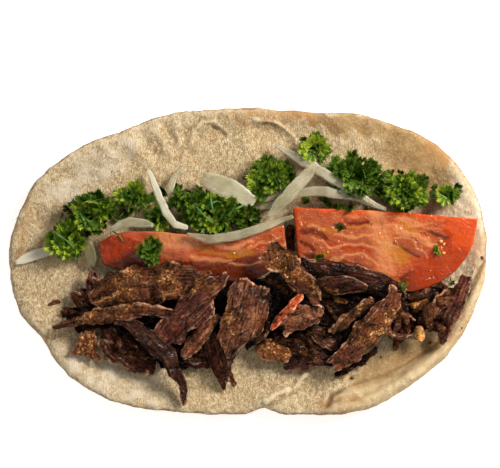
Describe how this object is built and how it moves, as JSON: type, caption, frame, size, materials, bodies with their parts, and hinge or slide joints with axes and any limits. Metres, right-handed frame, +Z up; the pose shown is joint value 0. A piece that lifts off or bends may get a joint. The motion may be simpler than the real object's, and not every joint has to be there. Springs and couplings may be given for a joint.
{
  "type": "open doner kebab sandwich",
  "caption": "Open oval pita, crumb side up, with a band of dark meat shavings, tomato slices, onion slivers and parsley tufts.",
  "frame": {"origin": "under the middle of the whole, on the surface that the bread rests on", "axes": "+X along the bread's length, +Y towards its back edge, where the parsley is, +Z up"},
  "size_m": [0.2116, 0.136, 0.0263],
  "materials": {
    "bread": "matt fibrous crumb with a thin brown crust on the underside and rim",
    "meat": "dark roast meat with lengthwise fibres, orange crusted patches and a thin film of fat",
    "fat": "golden roast fat, glossy",
    "tomato": "wet cut flesh with seed chambers and red skin",
    "onion": "translucent raw onion with faint lengthwise veins",
    "parsley": "fresh curly leaf, dark to bright green"
  },
  "bodies": {
    "root": {"bread": "bread", "onion_top": "onion", "onion_long": "onion", "onion_bow": "onion", "onion_wedge": "onion", "onion_flat": "onion", "onion_end": "onion", "onion_arch": "onion", "onion_hook": "onion", "onion_curl": "onion", "onion_sweep": "onion", "onion_short": "onion", "tomato_left": "tomato", "tomato_right": "tomato", "meat_curled_ring": "meat", "meat_crust_slant": "meat", "meat_long_crust": "meat", "meat_fibre_fan": "meat", "meat_fibre_leaf": "meat", "meat_crescent": "meat", "meat_spike": "meat", "meat_red_sliver": "meat", "meat_thin_crust": "meat", "meat_dark_leaf": "meat", "meat_brown_chunk": "meat", "meat_right_strip": "meat", "meat_steep_strip": "meat", "meat_back_slab": "meat", "meat_back_plate": "meat", "meat_dark_wedge": "meat", "meat_brown_wedge": "meat", "meat_fat_lump": "fat", "meat_dark_point": "meat", "meat_olive_fibre": "meat", "meat_wedge_left": "meat", "meat_dark_flat": "meat", "meat_tan_chunk": "meat", "meat_purple_strip": "meat", "meat_lower_slab": "meat", "meat_dark_bit": "meat", "meat_dark_chip": "meat", "meat_charred_strip": "meat", "meat_under_left": "meat", "meat_under_mid": "meat", "meat_under_front": "meat", "meat_under_right": "meat", "meat_under_ring": "meat", "meat_under_end": "meat", "parsley_rosette": "parsley", "parsley_left": "parsley", "parsley_tips": "parsley", "parsley_small": "parsley", "parsley_sprig": "parsley", "parsley_mid": "parsley", "parsley_back": "parsley", "parsley_top": "parsley", "parsley_right": "parsley", "parsley_end": "parsley", "parsley_leaf": "parsley"}
  },
  "joints": []
}
